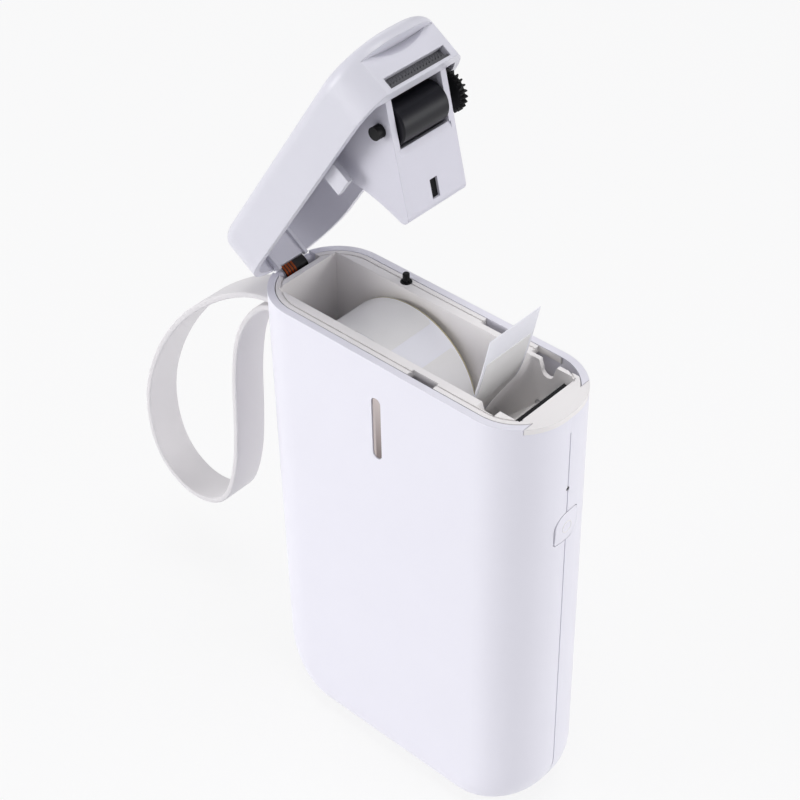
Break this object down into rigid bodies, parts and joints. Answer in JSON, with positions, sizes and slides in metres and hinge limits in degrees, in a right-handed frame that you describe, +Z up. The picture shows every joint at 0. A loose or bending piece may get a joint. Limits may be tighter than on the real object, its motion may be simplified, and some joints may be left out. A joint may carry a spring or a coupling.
{
  "type": "thermal label maker",
  "caption": "Pocket thermal label maker with its hinged lid open over a label roll, a rubber roller carried under the lid, a side button and a flat wrist strap.",
  "frame": {"origin": "centre of the flat base that it stands on", "axes": "+Z up; +X along the width, from the hinge to the label outlet; -Y is the front face"},
  "size_m": [0.1263, 0.0274, 0.1851],
  "materials": {
    "white_casing": "satin moulded, white",
    "white_frame": "matte moulded, off-white",
    "white_button": "smooth white",
    "clear_window": "polished, clear",
    "black_plastic": "matte black",
    "gear_plastic": "natural, moulded",
    "roller_rubber": "ground matte",
    "strap_silicone": "soft matte",
    "bright_steel": "bright machined",
    "cutter_steel": "dark stamped",
    "head_aluminium": "bare",
    "head_ceramic": "glazed, dark",
    "circuit_green": "solder mask",
    "cell_wrap": "film wrap",
    "label_paper": "coated paper",
    "core_card": "plain card"
  },
  "bodies": {
    "casing": {"front_shell": "white_casing", "rear_shell": "white_casing", "chassis": "white_frame", "window_lens": "clear_window", "light_pipe": "clear_window", "button_switch": "black_plastic", "button_board": "circuit_green", "status_led": "clear_window", "charging_port": "bright_steel", "circuit_board": "circuit_green", "controller_chip": "black_plastic", "battery": "cell_wrap", "lid_switch": "black_plastic", "lid_cable": "black_plastic", "board_screws": "bright_steel", "chassis_screws": "bright_steel", "feed_motor": "bright_steel", "idler_pins": "bright_steel", "head_bracket": "bright_steel", "label_strip": "label_paper", "wrist_strap": "strap_silicone", "strap_anchor": "white_frame", "hinge_pin": "bright_steel"},
    "lid": {"lid_shell": "white_casing", "cutter_blade": "cutter_steel", "roller_carrier": "white_frame", "label_sensor": "black_plastic", "roller_bushes": "black_plastic"},
    "roller": {"platen_roller": "roller_rubber", "roller_shaft": "bright_steel", "roller_gear": "black_plastic"},
    "button": {"side_button": "white_button", "switch_plunger": "black_plastic"},
    "lid_pin": {"lid_switch_pin": "black_plastic"},
    "head": {"print_head": "head_ceramic", "head_sink": "head_aluminium", "head_springs": "bright_steel"},
    "roll": {"label_roll": "label_paper", "roll_core": "core_card"},
    "motor_shaft": {"motor_pinion": "gear_plastic"},
    "lower_gear": {"lower_idler": "gear_plastic"},
    "upper_gear": {"upper_idler": "gear_plastic"}
  },
  "joints": [
    {"name": "lid_hinge", "type": "hinge", "parent": "casing", "child": "lid", "pos_m": [-0.03684, 0, 0.11674], "axis": [0, -1, 0], "range_deg": [-56.6, 0], "deforming": ["label_strip"]},
    {"name": "roller_spin", "type": "hinge", "parent": "lid", "child": "roller", "pos_m": [-0.0024, 0, 0.16835], "axis": [0, 1, 0], "continuous": true},
    {"name": "label_roll_spin", "type": "hinge", "parent": "casing", "child": "roll", "pos_m": [-0.0098, 0, 0.0985], "axis": [0, 1, 0], "continuous": true},
    {"name": "side_button_press", "type": "slide", "parent": "casing", "child": "button", "axis": [-1, 0, 0], "range_m": [0, 0.0005], "stiffness_N_per_m": 400},
    {"name": "lid_switch_press", "type": "slide", "parent": "casing", "child": "lid_pin", "axis": [0, 0, -1], "range_m": [0, 0.0016], "stiffness_N_per_m": 150},
    {"name": "print_head_press", "type": "slide", "parent": "casing", "child": "head", "axis": [0.9397, 0, -0.342], "range_m": [0, 0.0006], "stiffness_N_per_m": 1500},
    {"name": "lower_idler_spin", "type": "hinge", "parent": "casing", "child": "lower_gear", "pos_m": [0.02251, 0, 0.09668], "axis": [0, 1, 0], "continuous": true},
    {"name": "upper_idler_spin", "type": "hinge", "parent": "casing", "child": "upper_gear", "pos_m": [0.02325, 0, 0.10724], "axis": [0, 1, 0], "continuous": true},
    {"name": "motor_spin", "type": "hinge", "parent": "casing", "child": "motor_shaft", "pos_m": [0.02214, 0, 0.0896], "axis": [0, 1, 0], "continuous": true}
  ],
  "couplings": [
    {"joint": "upper_idler_spin", "follows": "roller_spin", "ratio": -0.76667},
    {"joint": "lower_idler_spin", "follows": "roller_spin", "ratio": 0.76667},
    {"joint": "motor_spin", "follows": "roller_spin", "ratio": -2.3}
  ]
}
